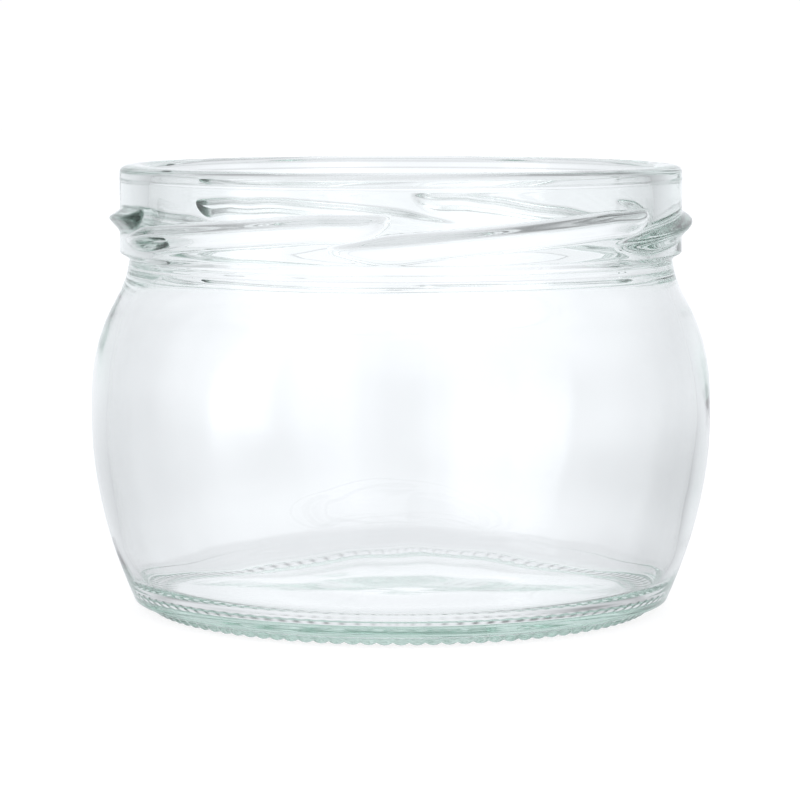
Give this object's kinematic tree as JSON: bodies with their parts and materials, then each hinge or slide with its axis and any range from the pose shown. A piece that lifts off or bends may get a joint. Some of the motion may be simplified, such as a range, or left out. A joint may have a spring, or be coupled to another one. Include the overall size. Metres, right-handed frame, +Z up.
{
  "type": "preserving jar",
  "caption": "Low round-bellied clear glass preserving jar with a wide mouth, a threaded neck ring for a twist-off closure and a knurled foot ring.",
  "frame": {"origin": "centre of the ring the jar stands on, at table level", "axes": "+Z up along the jar's axis through the mouth; -Y is the side seen in the picture, +X is to its right"},
  "size_m": [0.0878, 0.0878, 0.063],
  "materials": {
    "clear_glass": "clear, polished"
  },
  "bodies": {
    "root": {"glass_jar": "clear_glass"}
  },
  "joints": []
}
